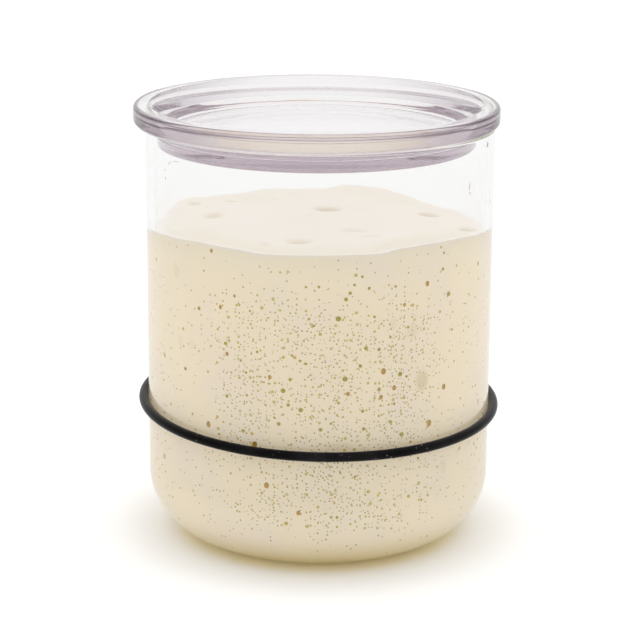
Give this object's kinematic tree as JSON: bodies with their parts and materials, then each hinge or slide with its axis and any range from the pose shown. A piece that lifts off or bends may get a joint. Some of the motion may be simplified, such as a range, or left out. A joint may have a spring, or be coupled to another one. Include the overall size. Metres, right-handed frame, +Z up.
{
  "type": "sourdough starter jar",
  "caption": "Straight glass jar with a rounded foot, a loose clear dished lid and a black rubber level band, filled with risen sourdough starter.",
  "frame": {"origin": "centre of the foot, on the surface that the jar stands on", "axes": "+Z up along the jar's axis; -Y towards the viewer of the picture, +X to that viewer's right"},
  "size_m": [0.1105, 0.11, 0.132],
  "materials": {
    "glass": "clear, fire-polished",
    "dough": "soft, moist dough full of small bubbles",
    "band_rubber": "smooth, satin",
    "lid_plastic": "clear with a faint lilac tint, polished"
  },
  "bodies": {
    "jar": {"glass_jar": "glass", "starter": "dough"},
    "lid": {"lid": "lid_plastic"},
    "band": {"level_band": "band_rubber"}
  },
  "joints": [
    {"name": "lid_lift", "type": "slide", "parent": "jar", "child": "lid", "axis": [0, 0, 1], "range_m": [0, 0.06]},
    {"name": "band_slide", "type": "slide", "parent": "jar", "child": "band", "axis": [0, 0, 1], "range_m": [-0.016, 0.08]}
  ]
}
